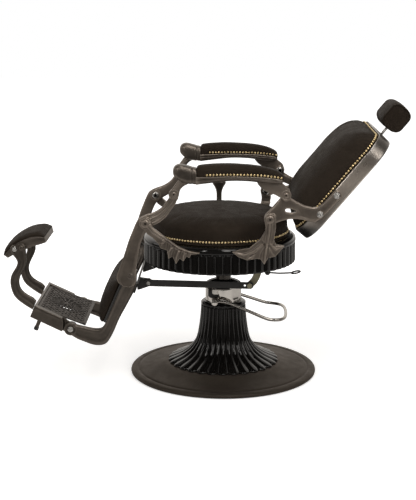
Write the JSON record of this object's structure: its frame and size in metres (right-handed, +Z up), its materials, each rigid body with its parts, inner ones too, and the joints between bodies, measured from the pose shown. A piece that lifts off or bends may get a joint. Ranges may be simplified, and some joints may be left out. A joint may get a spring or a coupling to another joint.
{
  "type": "hydraulic barber chair",
  "caption": "Round-base hydraulic barber chair with cast side levers, nailhead cushions, sliding headrest, pierced footrest and pump lever, shown reclined.",
  "frame": {"origin": "on the floor, on the axis of the round base and of the lifting column", "axes": "+Z up; +Y towards the rear, where the headrest is; +X towards the sitter's left"},
  "size_m": [0.6899, 1.4592, 1.0103],
  "materials": {
    "bronze_casting": "satin",
    "black_enamel": "gloss",
    "base_iron": "satin",
    "chrome": "polished",
    "leather": "matte",
    "brass_nails": "satin",
    "plywood": "matte",
    "zinc_casting": "satin"
  },
  "bodies": {
    "base": {"sole_plate": "base_iron", "base_disc": "base_iron", "pedestal": "black_enamel", "pump_housing": "chrome", "column_cap": "black_enamel", "lever_pins": "chrome", "stop_strap": "black_enamel"},
    "lift": {"piston": "chrome"},
    "seat": {"seat_spider": "black_enamel", "seat_pan": "black_enamel", "seat_rim": "black_enamel", "seat_skirt": "black_enamel", "seat_board": "plywood", "seat_cushion": "leather", "seat_nails": "brass_nails", "front_bracket_left": "bronze_casting", "front_bracket_right": "bronze_casting", "rear_bracket_left": "bronze_casting", "rear_bracket_right": "bronze_casting", "seat_pivot_pins": "chrome", "rocker_hangers": "black_enamel", "lever_block": "black_enamel", "rod_bracket": "black_enamel"},
    "back": {"back_bracket_left": "bronze_casting", "back_bracket_right": "bronze_casting", "back_shell": "bronze_casting", "back_panel": "plywood", "back_cushion": "leather", "back_nails": "brass_nails", "back_bolts": "chrome", "headrest_socket": "chrome"},
    "headrest": {"headrest_post": "chrome", "headrest_pad": "leather"},
    "leg": {"leg_lever_left": "bronze_casting", "leg_lever_right": "bronze_casting", "leg_frame_left": "bronze_casting", "leg_frame_right": "bronze_casting", "leg_bolts": "chrome", "calf_board": "bronze_casting", "calf_pad": "leather", "leg_cross_bar": "black_enamel", "link_pins": "chrome"},
    "footrest": {"foot_frame": "bronze_casting", "foot_grille": "bronze_casting", "foot_stops": "chrome", "foot_arms": "bronze_casting", "foot_bolts": "chrome", "foot_pad_shell": "bronze_casting", "foot_pad": "leather"},
    "armrests": {"armrest_left": "bronze_casting", "armrest_right": "bronze_casting", "arm_pins": "chrome", "arm_pad_left": "leather", "arm_pad_right": "leather", "arm_nails": "brass_nails"},
    "drag_links": {"link_bars": "black_enamel"},
    "rocker_pair": {"rockers": "zinc_casting"},
    "pump_handle": {"pump_lever": "chrome"},
    "recline_handle": {"recline_lever": "bronze_casting"},
    "release_handle": {"release_rod": "black_enamel"}
  },
  "joints": [
    {"name": "seat_lift", "type": "slide", "parent": "base", "child": "lift", "axis": [0, 0, 1], "range_m": [0, 0.15]},
    {"name": "seat_swivel", "type": "hinge", "parent": "lift", "child": "seat", "pos_m": [0, 0, 0.44], "axis": [0, 0, 1], "continuous": true},
    {"name": "back_recline", "type": "hinge", "parent": "seat", "child": "back", "pos_m": [0, 0.161, 0.632], "axis": [1, 0, 0], "range_deg": [0, 32]},
    {"name": "leg_swing", "type": "hinge", "parent": "seat", "child": "leg", "pos_m": [0, -0.266, 0.616], "axis": [1, 0, 0], "range_deg": [0, 25.3]},
    {"name": "armrest_swing", "type": "hinge", "parent": "back", "child": "armrests", "pos_m": [0, 0.215, 0.715], "axis": [1, 0, 0], "range_deg": [-34.5, 0]},
    {"name": "drag_link_swing", "type": "hinge", "parent": "leg", "child": "drag_links", "pos_m": [0, -0.268, 0.37], "axis": [1, 0, 0], "range_deg": [-29, 0]},
    {"name": "rocker_swing", "type": "hinge", "parent": "seat", "child": "rocker_pair", "pos_m": [0, 0.145, 0.5], "axis": [1, 0, 0], "range_deg": [0, 41.5]},
    {"name": "headrest_slide", "type": "slide", "parent": "back", "child": "headrest", "axis": [0, 0.6428, 0.766], "range_m": [-0.02, 0.08]},
    {"name": "footrest_fold", "type": "hinge", "parent": "leg", "child": "footrest", "pos_m": [0, -0.547, 0.207], "axis": [1, 0, 0], "range_deg": [-30, 0]},
    {"name": "pump_lever_swing", "type": "hinge", "parent": "base", "child": "pump_handle", "pos_m": [0, -0.031, 0.282], "axis": [1, 0, 0], "range_deg": [-10, 8]},
    {"name": "recline_lever_swing", "type": "hinge", "parent": "seat", "child": "recline_handle", "pos_m": [0, -0.02, 0.47], "axis": [1, 0, 0], "range_deg": [-15, 15]},
    {"name": "release_rod_swing", "type": "hinge", "parent": "seat", "child": "release_handle", "pos_m": [0.106, 0.16, 0.4], "axis": [1, 0, 0], "range_deg": [-6, 6]}
  ],
  "couplings": [
    {"joint": "leg_swing", "follows": "back_recline", "ratio": 0.787},
    {"joint": "armrest_swing", "follows": "back_recline", "ratio": -1.0729},
    {"joint": "drag_link_swing", "follows": "back_recline", "ratio": -0.9047},
    {"joint": "rocker_swing", "follows": "back_recline", "ratio": 1.2945}
  ]
}
